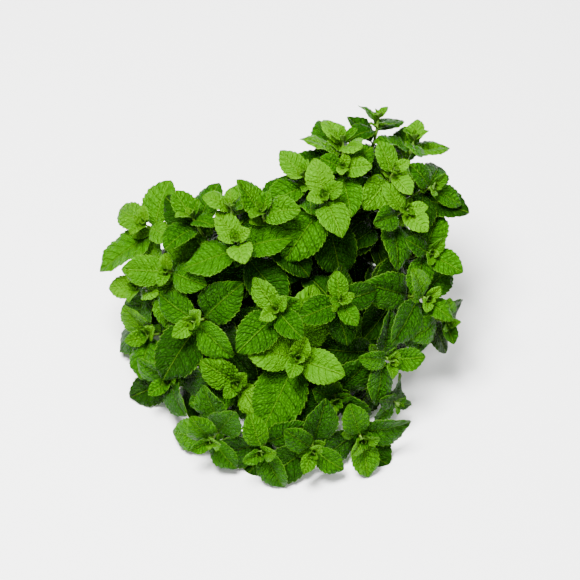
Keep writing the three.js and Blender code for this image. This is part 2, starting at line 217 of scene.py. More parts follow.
def tip_of(row):
    """Where the tip of a sprig is: on the dome, but not under the lowest height."""
    right, up = row.right, row.up
    reach = math.sqrt(max(0.0, DOME_RADIUS**2 - right**2 - up**2))
    least = (LOWEST_TIP - TIE[2] - up * UPWARD[2]) / TOWARDS[2]
    return TIE + RIGHT * right + UPWARD * up + TOWARDS * max(reach, least)


def band_spots():
    """The places for stems in the band, in rings round its middle."""
    spots = []
    for ring, room in enumerate(RING_SPOTS):
        for i in range(room):
            turn = (i + 0.5 * (ring % 2)) * 2 * math.pi / room
            across = TAIL_SIDE * math.cos(turn) * ring * RING_STEP
            spots.append(TIE + across + np.array([0, 0, math.sin(turn) * ring * RING_STEP]))
    return spots


class Stem:
    """One smooth curve from the tip to the stem's place in the band, and a straight cut tail behind it."""

    def __init__(self, row, spot, tail_draw):
        tip = tip_of(row)
        aim = unit(RIGHT * row.lean_right + UPWARD * row.lean_up + TOWARDS)
        pull = np.linalg.norm(tip - spot) * STEM_PULL
        self.knots = np.array([tip, tip - aim * pull, spot - TAIL * pull, spot])
        self.length = 3 * pull
        splay = (spot - TIE) * TAIL_SPLAY
        if splay[2] < 0:
            splay[2] *= TAIL_DROP_SHARE
        self.cut = spot + splay + TAIL * (TAIL_LENGTH + TAIL_LENGTH_SPREAD * (tail_draw - 0.5))
        downs = [pair[1] for pair in PAIRS[: row.pairs]]
        self.places = [down * row.longest / LEAF_REFERENCE / self.length for down in downs]
        halfway = [(a + b) / 2 for a, b in zip(self.places, self.places[1:])]
        self.rings = [0, *halfway, *[p for p in BARE_RINGS if p > self.places[-1] + BARE_RING_GAP]]

    def point(self, t):
        k = (1 - t) ** 3, 3 * (1 - t) ** 2 * t, 3 * (1 - t) * t * t, t**3
        return sum(w * p for w, p in zip(k, self.knots))

    def frame(self, t):
        """The way to the tip, and two directions square to it."""
        axis = unit(self.point(max(0, t - NEARBY)) - self.point(min(1, t + NEARBY)))
        first = unit(RIGHT - axis * axis.dot(RIGHT))
        return axis, first, np.cross(axis, first)

    def corner(self, t):
        return STEM_TIP_CORNER + (STEM_CORNER - STEM_TIP_CORNER) * math.sqrt(min(1, t / STEM_FULL_AT))

    def middle(self, t):
        """The middle of the solid stem, which runs straight between its rings."""
        k = next(i for i, place in enumerate(self.rings) if place > t)
        a, b = self.rings[k - 1], self.rings[k]
        return self.point(a) + (self.point(b) - self.point(a)) * (t - a) / (b - a)


class Leaf:
    """A blade that leaves its stem at a pitch, bends by curl, and is folded and twisted a little."""

    def __init__(self, axis, out, root, pitch, curl, twist, fold, length):
        self.axis, self.out, self.root = axis, out, root
        self.side = np.cross(axis, out)
        self.pitch, self.curl, self.twist, self.fold = pitch, curl, twist, fold
        self.length = length
        self.width = length * LEAF_WIDTH_SHARE
        self.look = {}

    def half_width(self, t):
        x = np.clip((t - PETIOLE_SHARE) / (1 - PETIOLE_SHARE), 0, 1)
        return self.width / 2 * x**BASE_ROUNDNESS * (1 - x) ** TIP_ROUNDNESS / OVAL_PEAK

    def points(self, t, across, height, soft=0.0):
        """Points at t along the blade, across it in mm and over its middle, pressed flat on the floor."""
        t, across, height = np.broadcast_arrays(np.asarray(t, float), across, height)
        angle = self.pitch + self.curl * t
        ahead = (np.sin(angle) - math.sin(self.pitch)) / self.curl
        outward = (math.cos(self.pitch) - np.cos(angle)) / self.curl
        up = np.sin(angle)[..., None] * self.axis - np.cos(angle)[..., None] * self.out
        turn = (self.twist * t)[..., None]
        over = np.cos(turn) * self.side + np.sin(turn) * up
        up = np.cos(turn) * up - np.sin(turn) * self.side
        rise = np.sqrt(across**2 + soft**2) - soft
        p = self.root + (ahead * self.length)[..., None] * self.axis
        p = p + (outward * self.length)[..., None] * self.out
        p = p + across[..., None] * over + (rise * self.fold)[..., None] * up
        pressed = p[..., 2] < LEAF_THICKNESS / 2
        p = p + np.where(pressed, 0, height)[..., None] * up
        p[..., 2] = np.where(pressed, LEAF_THICKNESS / 2 + height, p[..., 2])
        return p


def leaf_at(stem, row, pair_index, which, jitter, scale, turn, raise_):
    """One leaf of a pair, spread by its jitter, in one of the variants that the solids try."""
    share, _, pitch, curl = PAIRS[pair_index]
    along = stem.places[pair_index]
    axis, first, second = stem.frame(along)
    azimuth = (row.turn + 90 * (pair_index + 1) + 180 * which + TURN_SPREAD * jitter[0] + turn) * DEG
    out = first * math.cos(azimuth) + second * math.sin(azimuth)
    root = stem.middle(along) + out * max(LEAST_ROOT, stem.corner(along) * math.sqrt(0.5) - ROOT_SUNK)
    length = row.longest * share * (1 + LENGTH_SPREAD * jitter[1]) * scale
    pitch = (pitch + PITCH_SPREAD * jitter[2] + raise_) * DEG
    curl = (curl + CURL_SPREAD * jitter[3]) * DEG
    twist = TWIST_SPREAD * jitter[4] * DEG
    return Leaf(axis, out, root, pitch, curl, twist, LEAF_FOLD + FOLD_SPREAD * jitter[5], length)


# Reading which variant each solid leaf took

# From the rule's own origin, under the band's middle, to the frame's.
OFFSET = np.array((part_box("rubber_band")[0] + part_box("rubber_band")[1]) / 2) / MM - TIE
MATCH = 0.05


def corner_tree(name):
    """A tree that finds the corners of a CAD node, in millimetres from the point under the band's middle."""
    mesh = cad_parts[name].data
    co = np.empty(len(mesh.vertices) * 3, np.float32)
    mesh.vertices.foreach_get("co", co)
    co = co.reshape(-1, 3).astype(float) / MM - OFFSET
    tree = KDTree(len(co))
    for i, p in enumerate(co):
        tree.insert(p, i)
    tree.balance()
    return tree


def is_corner(tree, p):
    return tree.find(p)[2] < MATCH


def find_stem(row, tree, tail_draw):
    """The stem through that place in the band where the solid has its corners."""
    for spot in band_spots():
        stem = Stem(row, spot, tail_draw)
        _, first, second = stem.frame(1)
        turns = [(row.turn + turn) * DEG for turn in (45, 135, 225, 315)]
        rim = [spot + STEM_CORNER * (first * math.cos(a) + second * math.sin(a)) for a in turns]
        if all(is_corner(tree, p) for p in rim):
            return stem
    raise RuntimeError("a stem's place in the band isn't found: the solids and this script differ")


def find_leaf(stem, row, pair_index, which, jitter, tree):
    """The variant whose tip is a corner of the solid, or nothing where the solid has no leaf."""
    for scale in LEAF_SCALES:
        for turn, raise_ in LEAF_SHIFTS:
            leaf = leaf_at(stem, row, pair_index, which, jitter, scale, turn, raise_)
            for height in (LEAF_THICKNESS / 2, -LEAF_THICKNESS / 2):
                if is_corner(tree, leaf.points(1, 0, height)):
                    return leaf
    return None


def grown():
    """Every stem with its leaves, as the solids have them."""
    found = []
    for i, row in enumerate(SPRIGS):
        name = f"sprig_{i + 1:02d}"
        tree = corner_tree(name)
        draw = draws(SEED + SEED_STEP * i)
        stem = find_stem(row, tree, next(draw))
        leaves = []
        unevenness = min(1, UPRIGHT_SHARE + LEAN_SHARE * math.hypot(row.lean_right, row.lean_up))
        for pair_index in range(row.pairs):
            for which in (0, 1):
                jitter = [(next(draw) - 0.5) * unevenness for _ in range(6)]
                leaf = find_leaf(stem, row, pair_index, which, jitter, tree)
                if leaf:
                    leaf.look = {"level": pair_index}
                    leaves.append(leaf)
        found.append((name, row, stem, leaves, draw))
    return found


# Fine leaves

# For leaves shorter than this many mm: teeth on a side, rows of points to a tooth, columns to half a blade.
# The larger leaves inside the bunch have fewer.
GRIDS = [(13, 4, 2, 3), (20, 6, 2, 4), (32, 8, 3, 6), (99, 10, 4, 6)]
INNER_GRID = (7, 3, 4)
INNER_GRID_FROM = 20

# Places along the blade as shares of its length: on the stalk, from where to where it has teeth, and at the
# tip. A reach is how far the edge stands out there, as a share of a tooth's depth.
STALK_PLACES = [0.0, 0.04, 0.075]
TOOTHED_FROM = 0.1
TOOTHED_TO = 0.97
TIP_PLACES = [0.975, 1.0]
TIP_REACHES = [-0.1, 0.0]
NOTCH_REACH = -0.25

# Places in one tooth from notch to point, for each number of rows. The teeth shrink near the tip, and only
# the rim of the blade follows them.
TOOTH_ROWS = {2: (0.0, 0.72), 3: (0.0, 0.45, 0.84), 4: (0.0, 0.33, 0.64, 0.87)}
TOOTH_SHRINKING = 6
TOOTH_LEAST = 0.25
TOOTH_RIM_POWER = 8
TOOTH_DEPTH_SHARE = 0.02
PETIOLE_HALF_WIDTH = 0.75
STALK_LEAST = 0.45
TIP_HALF_WIDTH = 0.1
BLADE_THICKNESS = 0.36
RIM_HALF_THICKNESS = 0.12
LOWEST_POINT = 0.05

# Side veins: how many, where they start and how much of the blade they share, and how they sweep.
VEIN_PAIRS = 7
VEINS_FROM = 0.1
VEINS_OVER = 0.9
VEIN_SWEEP = 0.17
VEIN_BEND = 1.25
SIDE_STEP = 0.35

# How far, in mm on a leaf of the reference length, the blade puffs up between its veins, is domed on each
# side of its midrib, waves and ruffles at its edge and rolls its edge under.
QUILT = 0.85
DOME = 1.1
WAVE = 1.0
RUFFLE = 0.45
EDGE_ROLL = 1.2

# How strongly one leaf may have each of them.
QUILT_LIMITS = (0.7, 1.3)
DOME_LIMITS = (0.4, 1.6)
WAVE_LIMITS = (0.4, 1.6)
ROLL_LIMITS = (-0.4, 1.2)

# How deep the midrib lies and how wide its groove is, in mm.
MIDRIB_GROOVE = 0.5
MIDRIB_GROOVE_REACH = 1.2

# How much narrower than the solid one the blade is near its tip, and where along it that begins.
TIP_NARROWING = 0.16
NARROWED_FROM = 0.72
NARROWED_OVER = 0.2

# Waves and ruffles to a leaf, and how far its right half is out of step with them.
WAVES = 1.9
WAVE_STEP = 2.2
RUFFLES = 5.3
RUFFLE_STEP = 1.1

# Between two side veins the blade is puffed up in cells of this width in mm, each out of step with the next.
CELL_WIDTH = 3.4
CELL_DEPTH = 0.3
CELL_STEP = 2.1
PUFF_POWER = 0.7
DOME_POWER = 0.9

# All of it fades in from the first place on, and out at the tip, over this share of the blade.
RELIEF_FROM = 0.09
RELIEF_FADE = 0.12

# How much thicker the stalk is on top and beneath, how far the midrib stands out beneath, and how soft the
# fold along it is, all in mm. The ends are places along the blade.
STALK_END = 0.13
STALK_FADE = 0.06
STALK_OVER = 0.25
STALK_UNDER = 0.45
RIB_HEIGHT = 0.5
RIB_WIDTH = 0.8
RIB_END = 1.1
FOLD_SOFTNESS = 0.8


def vein_phase(t, s):
    """Whole numbers at the side veins, which leave the midrib in turn and sweep towards the tip."""
    from_base = t - VEIN_SWEEP * np.abs(s) ** VEIN_BEND - VEINS_FROM
    return from_base * VEIN_PAIRS / VEINS_OVER + np.where(s > 0, SIDE_STEP, 0)


def leaf_rows(teeth, rows):
    """Places along the blade, and how far out of the smooth edge each is in its tooth."""
    places, reach = [*STALK_PLACES], [0.0] * len(STALK_PLACES)
    for k in range(teeth):
        for f in TOOTH_ROWS[rows]:
            places.append(TOOTHED_FROM + (TOOTHED_TO - TOOTHED_FROM) * (k + f) / teeth)
            reach.append(min(1.0, f / TOOTH_ROWS[rows][-1]) if f else NOTCH_REACH)
    return np.array([*places, *TIP_PLACES]), np.array([*reach, *TIP_REACHES])


def half_widths(leaf, t):
    """Half the width at each place: near the tip narrower than the solid, with a least width everywhere."""
    size = leaf.length / LEAF_REFERENCE
    stalk = PETIOLE_HALF_WIDTH * (STALK_LEAST + (1 - STALK_LEAST) * size)
    narrowed = 1 - TIP_NARROWING * np.clip((t - NARROWED_FROM) / NARROWED_OVER, 0, 1)
    return np.maximum(leaf.half_width(t) * narrowed, np.where(t < 0.5, stalk, TIP_HALF_WIDTH))


def blade_relief(along, side, across, chance):
    """How far the blade lies above its smooth middle surface, in mm on a leaf of the reference length."""
    phase = vein_phase(along, side)
    right = side > 0
    cells = np.cos(2 * math.pi * across / CELL_WIDTH + CELL_STEP * np.floor(phase))
    cells = 1 - CELL_DEPTH + CELL_DEPTH * cells
    pillow = np.abs(np.sin(math.pi * phase)) ** PUFF_POWER * cells * (1 - np.abs(side) ** 4)
    arch = np.sin(math.pi * np.abs(side) ** DOME_POWER)
    wave = np.sin(2 * math.pi * (WAVES * along + next(chance)) + WAVE_STEP * right) * side**2
    ruffle = np.sin(2 * math.pi * (RUFFLES * along + next(chance)) + RUFFLE_STEP * right) * np.abs(side) ** 3
    lift = QUILT * between(QUILT_LIMITS, chance) * pillow
    lift = lift + DOME * between(DOME_LIMITS, chance) * arch
    lift = lift + WAVE * between(WAVE_LIMITS, chance) * wave + RUFFLE * ruffle
    return lift - EDGE_ROLL * between(ROLL_LIMITS, chance) * side**4


def blade(leaf, chance):
    """A closed leaf: quilted between its veins, waved at its toothed edge, with a stalk and a rib beneath."""
    teeth, rows, columns = next(grid[1:] for grid in GRIDS if leaf.length < grid[0])
    if leaf.look.get("inner") and leaf.length > INNER_GRID_FROM:
        teeth, rows, columns = INNER_GRID
    t, reach = leaf_rows(teeth, rows)
    s = np.linspace(-1, 1, 2 * columns + 1)
    size = leaf.length / LEAF_REFERENCE
    shrunk = np.clip((1 - t) * TOOTH_SHRINKING, TOOTH_LEAST, 1)
    tooth = reach * TOOTH_DEPTH_SHARE * leaf.length * shrunk * (t > TOOTHED_FROM)
    rim_share = np.sign(s) * np.abs(s) ** TOOTH_RIM_POWER
    across = s[None, :] * half_widths(leaf, t)[:, None] + rim_share * tooth[:, None]
    along = t[:, None] + 0 * s[None, :]
    side = 0 * t[:, None] + s[None, :]
    inner = np.clip((along - RELIEF_FROM) / RELIEF_FADE, 0, 1) * np.clip((1 - along) / RELIEF_FADE, 0, 1)
    groove = MIDRIB_GROOVE * np.exp(-((across / MIDRIB_GROOVE_REACH) ** 2)) * inner
    lift = blade_relief(along, side, across, chance) * size * inner - groove
    stalk = np.clip((STALK_END - along) / STALK_FADE, 0, 1)
    rib = np.exp(-((across / RIB_WIDTH) ** 2)) * np.clip(RIB_END - along, 0, 1)
    over = BLADE_THICKNESS / 2 + STALK_OVER * stalk * size
    under = BLADE_THICKNESS / 2 + STALK_UNDER * stalk * size + RIB_HEIGHT * rib * size * inner
    rim = np.abs(side) == 1
    over = np.where(rim, RIM_HALF_THICKNESS, over)
    under = np.where(rim, RIM_HALF_THICKNESS, under)
    top = leaf.points(along, across, lift + over, FOLD_SOFTNESS)
    bottom = leaf.points(along, across, lift - under, FOLD_SOFTNESS)
    for face in (top, bottom):
        face[..., 2] = np.maximum(face[..., 2], LOWEST_POINT)
    return top, bottom, along, side, across


# A look holds a leaf's length and a place on a stem as shares of these lengths.
LOOK_LENGTH = 60.0
LOOK_STEM_LENGTH = 240.0

# One unit of the surface maps in mm, how far leaves are moved apart on them, and how much their ages differ.
MAP_UNIT = 100
MAP_JUMP = 10
AGE_LIMITS = (-0.15, 0.15)


class Skin:
    """Gathers points, faces, two surface maps and a look for each point, and makes one mesh of them."""

    def __init__(self):
        self.points, self.faces, self.edge, self.slots = [], [], [], []
        self.place, self.skin, self.look = [], [], []
        self.count = 0

    def add(self, points, faces, place, skin, look, edge, slot):
        self.points.append(points)
        self.faces += [[i + self.count for i in face] for face in faces]
        self.place.append(place)
        self.skin.append(skin)
        self.look.append(look)
        self.edge.append(edge)
        self.slots += [slot] * len(faces)
        self.count += len(points)

    def mesh(self, name, materials):
        points = (np.concatenate(self.points) + OFFSET) * MM
        mesh = bpy.data.meshes.new(name)
        mesh.from_pydata(points.tolist(), [], self.faces)
        for material in materials:
            mesh.materials.append(material)
        mesh.polygons.foreach_set("material_index", np.array(self.slots, np.int32))
        corner = np.empty(len(mesh.loops), np.int32)
        mesh.loops.foreach_get("vertex_index", corner)
        for title, values in (("place", self.place), ("skin", self.skin)):
            layer = mesh.uv_layers.new(name=title)
            layer.data.foreach_set("uv", np.concatenate(values)[corner].astype(np.float32).ravel())
        look = mesh.attributes.new("look", "FLOAT_COLOR", "POINT")
        look.data.foreach_set("color", np.concatenate(self.look).astype(np.float32).ravel())
        ends = np.empty(len(mesh.edges) * 2, np.int32)
        mesh.edges.foreach_get("vertices", ends)
        edge = np.concatenate(self.edge)[ends.reshape(-1, 2)]
        sharp = (edge[:, 0] > 0) & (edge[:, 0] == edge[:, 1])
        mesh.polygons.foreach_set("use_smooth", np.ones(len(mesh.polygons), bool))
        mesh.edges.foreach_set("use_edge_sharp", sharp)
        mesh.update()
        return mesh


def grid_faces(rows, columns, first, flip):
    """Four-sided faces of a grid of points that are numbered row by row from first."""
    faces = []
    for r in range(rows - 1):
        for c in range(columns - 1):
            a = first + r * columns + c
            quad = [a, a + 1, a + columns + 1, a + columns]
            faces.append(quad[::-1] if flip else quad)
    return faces


def add_leaf(skin, leaf, chance):
    """Adds a leaf: its top, its underside and the narrow faces between them."""
    top, bottom, along, side, across = blade(leaf, chance)
    rows, columns = along.shape
    count = rows * columns
    faces = grid_faces(rows, columns, 0, False) + grid_faces(rows, columns, count, True)
    rim = list(range(columns))
    rim += [r * columns + columns - 1 for r in range(1, rows)]
    rim += [(rows - 1) * columns + c for c in range(columns - 2, -1, -1)]
    rim += [r * columns for r in range(rows - 2, 0, -1)]
    faces += [[b, a, a + count, b + count] for a, b in zip(rim, rim[1:] + rim[:1])]
    place = np.stack([along, side / 2 + 0.5], -1).reshape(-1, 2)
    jump = MAP_JUMP * next(chance)
    skin_map = np.stack([along * leaf.length / MAP_UNIT + jump, across / MAP_UNIT], -1).reshape(-1, 2)
    age = min(1.0, max(0.0, leaf.look["age"] + between(AGE_LIMITS, chance)))
    tone = next(chance)
    look = np.tile([age, tone, 0.0, leaf.length / LOOK_LENGTH], (count, 1))
    beneath = look.copy()
    beneath[:, 2] = 1.0
    on_rim = np.zeros(count, int)
    on_rim[rim] = 1
    skin.add(
        np.concatenate([top.reshape(-1, 3), bottom.reshape(-1, 3)]), faces, np.concatenate([place, place]),
        np.concatenate([skin_map, skin_map]), np.concatenate([look, beneath]),
        np.concatenate([on_rim, on_rim * 2]), 0,
    )


# Stems

# Points round the stem, the step between its rings in mm, the steps of its track, its section (2 is round).
STEM_SIDES = 16
STEM_STEP = 5.0
TRACK_STEPS = 160
SQUARENESS = 4.0

# A stem swells at its nodes by this share and this far, in mm, with rings of points there.
NODE_SWELLING = 0.3
NODE_REACH = 1.5
NODE_RINGS = (-2.6, -1.3, 0.0, 1.3, 2.6)

# Nodes stripped of their leaves go on down the stem, this far apart in mm.
NODE_SPACING = 30.0
NODE_SPACING_SPREAD = 16.0

# The tip is pointed to this share of its size over so many mm. The cut end has a rim and a hollow face.
TIP_POINT = 0.3
TIP_REACH = 5.0
CUT_RIM = 0.72
CUT_HOLLOW_RIM = 0.5
CUT_HOLLOW = 0.5


def stem_rings(stem, chance):
    """Rings from tip to cut: middle, two ways square to it, half diagonal, way from the tip, node share."""
    times = np.linspace(0, 1, TRACK_STEPS + 1)
    track = np.array([*[stem.point(t) for t in times], stem.cut])
    gone = np.concatenate([[0], np.cumsum(np.linalg.norm(np.diff(track, axis=0), axis=1))])
    nodes = list(np.interp(stem.places, times, gone[:-1]))
    while nodes[-1] + NODE_SPACING + NODE_SPACING_SPREAD < gone[-1]:
        nodes.append(nodes[-1] + NODE_SPACING + NODE_SPACING_SPREAD * next(chance))
    steps = [*np.arange(0, gone[-1], STEM_STEP), gone[-1], *[n + d for n in nodes for d in NODE_RINGS]]
    steps = sorted(set(np.round(np.clip(steps, 0, gone[-1]), 1)))
    rings = []
    for way in steps:
        middle = np.array([np.interp(way, gone, track[:, k]) for k in range(3)])
        t = min(1.0, np.interp(way, gone[:-1], times))
        _, first, second = stem.frame(t)
        node = math.exp(-min(((way - n) / NODE_REACH) ** 2 for n in nodes))
        pointed = TIP_POINT + (1 - TIP_POINT) * min(1, way / TIP_REACH)
        corner = stem.corner(t) * (1 + NODE_SWELLING * node) * pointed
        rings.append((middle, first, second, corner, way, node))
    return rings


def add_stem(skin, stem, row, chance):
    """Adds a square stem with soft corners, from its pointed tip to its cut end."""
    knots = stem_rings(stem, chance)
    turns = np.linspace(0, 2 * math.pi, STEM_SIDES, endpoint=False)
    flat = np.sign(np.cos(turns)) * np.abs(np.cos(turns)) ** (2 / SQUARENESS)
    tall = np.sign(np.sin(turns)) * np.abs(np.sin(turns)) ** (2 / SQUARENESS)
    turned = row.turn * DEG
    rings = []
    for middle, first, second, corner, _, _ in knots:
        a = first * math.cos(turned) + second * math.sin(turned)
        b = second * math.cos(turned) - first * math.sin(turned)
        size = corner * math.sqrt(0.5)
        ring = middle + size * (flat[:, None] * a + tall[:, None] * b)
        ring[:, 2] = np.maximum(ring[:, 2], LOWEST_POINT)
        rings.append(ring)
    last = knots[-1][0]
    back = unit(last - knots[-2][0])
    end = rings[-1]
    rings.append(last + (end - last) * CUT_RIM)
    rings.append(last + (end - last) * CUT_HOLLOW_RIM - back * CUT_HOLLOW)
    points = np.concatenate(rings)
    total = len(rings)
    faces = []
    for r in range(total - 1):
        near, far = r * STEM_SIDES, (r + 1) * STEM_SIDES
        for i in range(STEM_SIDES):
            j = (i + 1) % STEM_SIDES
            faces.append([near + i, far + i, far + j, near + j])
    faces.append(list(range(STEM_SIDES)))
    faces.append([(total - 1) * STEM_SIDES + i for i in range(STEM_SIDES - 1, -1, -1)])
    ways = [knot[4] for knot in knots]
    along = np.repeat([*ways, ways[-1], ways[-1]], STEM_SIDES)
    around = np.tile(turns / (2 * math.pi), total)
    place = np.stack([around, along / MAP_UNIT], -1)
    look = np.zeros((len(points), 4))
    look[:, 0] = np.clip(along / LOOK_STEM_LENGTH, 0, 1)
    look[:, 1] = next(chance)
    look[-2 * STEM_SIDES :, 2] = 1.0
    look[:, 3] = np.repeat([*[knot[5] for knot in knots], 0.0, 0.0], STEM_SIDES)
    edge = np.zeros(len(points), int)
    edge[-3 * STEM_SIDES : -2 * STEM_SIDES] = 1
    skin.add(points, faces, place, place, look, edge, 1)


# Leaves that are too small or too hidden for the solids

# A leaf is tested as two sheets this far off its middle, with so many points along and across, and this far
# inside the solids' box. Its part nearer the stem than the start is left out of the test.
SHEET_GAP = 0.5
SHEET_ROWS = 7
SHEET_COLUMNS = 5
SHEET_LEAST_HALF_WIDTH = 0.3
BOX_MARGIN = 0.2

# Every small leaf: twist, fold, and its root's place on the way from the stem's middle to a corner.
SMALL_TWIST = (-20, 20)
SMALL_FOLD = (0.25, 0.5)
SMALL_ROOT = 0.4

# Pairs at the very tip: share of the longest leaf, angle to the stem, bend, turn and place on the stem.
BUD_PAIRS = [(0.36, 24, 36, 0, 0.004), (0.22, 9, 20, 90, 0.002), (0.15, 2, 12, 0, 0.0)]
BUD_TURN = (-10, 10)
BUD_LENGTH = (0.9, 1.15)
BUD_RAISE = (0, 8)
BUD_AGE = 0.12

# Shoots in the angles between leaves and stem: the share of angles without one, and each leaf of the two.
BARE_ANGLES = 0.25
AXIL_LEANS = (-38, 38)
AXIL_TURN = (-7, 7)
AXIL_LENGTH = (0.2, 0.36)
AXIL_ABOVE = 2.0
AXIL_PITCH = (34, 50)
AXIL_CURL = 40
AXIL_AGE = 0.15
AXIL_START = 0.3

# Older leaves down the stem: how far down they go, the gap between pairs, and each leaf. Every further try
# turns a leaf more and makes it smaller.
HIDDEN_TO = 0.58
HIDDEN_GAP = (9, 12)
TRIES = 16
HIDDEN_TURN = 50
HIDDEN_TURN_STEP = 5
HIDDEN_SIZE = 0.9
HIDDEN_SIZE_STEP = 0.035
HIDDEN_LENGTH = (0.85, 1.05)
HIDDEN_PITCH = (50, 95)
HIDDEN_CURL = 46
HIDDEN_AGE = (0.75, 1.0)
HIDDEN_START = 0.16


def sheets(leaf, start):
    """A coarse copy of a blade as two sheets just outside its faces, to test that it is clear."""
    t = np.linspace(start, 1, SHEET_ROWS)[:, None]
    s = np.linspace(-1, 1, SHEET_COLUMNS)[None, :]
    across = s * np.maximum(leaf.half_width(t), SHEET_LEAST_HALF_WIDTH)
    points, faces = [], []
    for k, height in enumerate((SHEET_GAP, -SHEET_GAP)):
        points.append(leaf.points(t + 0 * s, across, height).reshape(-1, 3))
        faces += grid_faces(SHEET_ROWS, SHEET_COLUMNS, SHEET_ROWS * SHEET_COLUMNS * k, False)
    return np.concatenate(points), faces


def standing_tree():
    """A tree of all the solids' faces."""
    points, faces = [], []
    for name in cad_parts:
        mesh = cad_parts[name].data
        start = len(points)
        points += [np.array(v.co) / MM - OFFSET for v in mesh.vertices]
        faces += [[start + i for i in face.vertices] for face in mesh.polygons]
    return BVHTree.FromPolygons([Vector(p) for p in points], faces)


class Room:
    """What stands already: the solids, and the small leaves added so far."""

    def __init__(self):
        self.solids = standing_tree()
        self.trees, self.low, self.high = [], np.empty((0, 3)), np.empty((0, 3))
        low, high = (np.array(corner) / MM - OFFSET for corner in cad_box)
        self.box = low, high

    def takes(self, leaf, start):
        """Keeps a leaf if it is clear of all that stands, and says whether it is."""
        points, faces = sheets(leaf, start)
        low, high = points.min(0), points.max(0)
        if (low < self.box[0] + BOX_MARGIN).any() or (high > self.box[1] - BOX_MARGIN).any():
            return False
        tree = BVHTree.FromPolygons([Vector(p) for p in points], faces)
        if tree.overlap(self.solids):
            return False
        near = ((self.low < high) & (self.high > low)).all(1).nonzero()[0]
        if any(tree.overlap(self.trees[i]) for i in near):
            return False
        self.trees.append(tree)
        self.low = np.vstack([self.low, low])
        self.high = np.vstack([self.high, high])
        return True


def small_leaf(stem, along, azimuth, pitch, curl, length, chance, age):
    """A leaf that only the looks have, by its place along the stem and its direction round it."""
    axis, first, second = stem.frame(along)
    out = first * math.cos(azimuth) + second * math.sin(azimuth)
    root = stem.point(along) + out * stem.corner(along) * SMALL_ROOT
    twist = between(SMALL_TWIST, chance) * DEG
    leaf = Leaf(axis, out, root, pitch * DEG, curl * DEG, twist, between(SMALL_FOLD, chance), length)
    leaf.look = {"age": age}
    return leaf


def bud_leaves(stem, row, chance):
    """The smallest pairs, half open and then still closed round the tip."""
    found = []
    for share, pitch, curl, quarter, along in BUD_PAIRS:
        for which in (0, 1):
            azimuth = (row.turn + quarter + 180 * which + between(BUD_TURN, chance)) * DEG
            length = row.longest * share * between(BUD_LENGTH, chance)
            raised = pitch + between(BUD_RAISE, chance)
            found.append(small_leaf(stem, along, azimuth, raised, curl, length, chance, BUD_AGE))
    return found


def axil_leaves(stem, row, chance, room):
    """Young shoots in the angles between leaves and stem, below the first pair."""
    found = []
    for index, place in enumerate(stem.places):
        for which in (0, 1):
            if index == 0 or next(chance) < BARE_ANGLES:
                continue
            for lean in AXIL_LEANS:
                turn = row.turn + 90 * (index + 1) + 180 * which + lean + between(AXIL_TURN, chance)
                length = row.longest * between(AXIL_LENGTH, chance)
                along = max(0.0, place - AXIL_ABOVE / stem.length)
                pitch = between(AXIL_PITCH, chance)
                leaf = small_leaf(stem, along, turn * DEG, pitch, AXIL_CURL, length, chance, AXIL_AGE)
                if room.takes(leaf, AXIL_START):
                    found.append(leaf)
    return found


def hidden_leaves(stem, row, chance, room):
    """Older leaves further down the stem, where they find room."""
    found = []
    down = PAIRS[row.pairs - 1][1] * row.longest / LEAF_REFERENCE
    downs = [down]
    while down < HIDDEN_TO * stem.length:
        down += between(HIDDEN_GAP, chance)
        downs.append(down)
    for index, down in enumerate(downs, row.pairs):
        for which in (0, 1):
            for attempt in range(TRIES):
                turn = (HIDDEN_TURN + HIDDEN_TURN_STEP * attempt) * (next(chance) - 0.5)
                azimuth = (row.turn + 90 * index + 180 * which + turn) * DEG
                size = HIDDEN_SIZE - HIDDEN_SIZE_STEP * attempt
                length = row.longest * size * between(HIDDEN_LENGTH, chance)
                pitch = between(HIDDEN_PITCH, chance)
                age = between(HIDDEN_AGE, chance)
                leaf = small_leaf(stem, down / stem.length, azimuth, pitch, HIDDEN_CURL, length, chance, age)
                if room.takes(leaf, HIDDEN_START):
                    leaf.look["inner"] = True
                    found.append(leaf)
                    break
    return found


# Materials


def colour(hex_value):
    """A linear colour from an sRGB hex value."""
    parts = [int(hex_value[i : i + 2], 16) / 255 for i in (1, 3, 5)]
    return (*[c / 12.92 if c <= 0.04045 else ((c + 0.055) / 1.055) ** 2.4 for c in parts], 1.0)


def new_material(name):
    material = bpy.data.materials.new(name)
    material.use_nodes = True
    material.node_tree.nodes.clear()
    return material, material.node_tree


def add(tree, kind, inputs=None, **settings):
    """Adds a node with its settings, and sets its inputs or links them to a socket or a node's output."""
    made = tree.nodes.new("ShaderNode" + kind)
    for name, value in settings.items():
        setattr(made, name, value)
    for name, value in (inputs or {}).items():
        if isinstance(value, bpy.types.Node):
            value = next(output for output in value.outputs if output.enabled)
        if isinstance(value, bpy.types.NodeSocket):
            tree.links.new(value, made.inputs[name])
        else:
            made.inputs[name].default_value = value
    return made


# Settings that many nodes share. A soft range takes: value, from, to, and what it gives at each end. A blend
# takes its share as 0 and its two colours as 6 and 7.
TIMES = {"operation": "MULTIPLY"}
PLUS = {"operation": "ADD"}
MINUS = {"operation": "SUBTRACT"}
SIZE = {"operation": "ABSOLUTE"}
SOFT = {"interpolation_type": "SMOOTHSTEP"}
TIMES_PLUS = {"operation": "MULTIPLY_ADD"}
BLEND = {"data_type": "RGBA"}
CELLS = {"feature": "DISTANCE_TO_EDGE", "voronoi_dimensions": "2D"}

# The net of small veins on a leaf: its cells are about this wide in mm, a little coarser than real so that
# they show.
NET_CELL = 2.4
NET_FINER = 2.6
# Half the width of the midrib in mm, beneath and on top, and of a side vein as a share of the veins'
# spacing.
RIB_REACH = 0.9
RIB_LINE = 0.34
VEIN_REACH = 0.13
# Lighter and darker patches to one unit of the map, each about 7 mm wide.
PATCHES = 14.0
# The top of a leaf from young to old.
GREENS = {0.0: "#4a8500", 0.35: "#2e6900", 0.65: "#174600", 1.0: "#0a2500"}


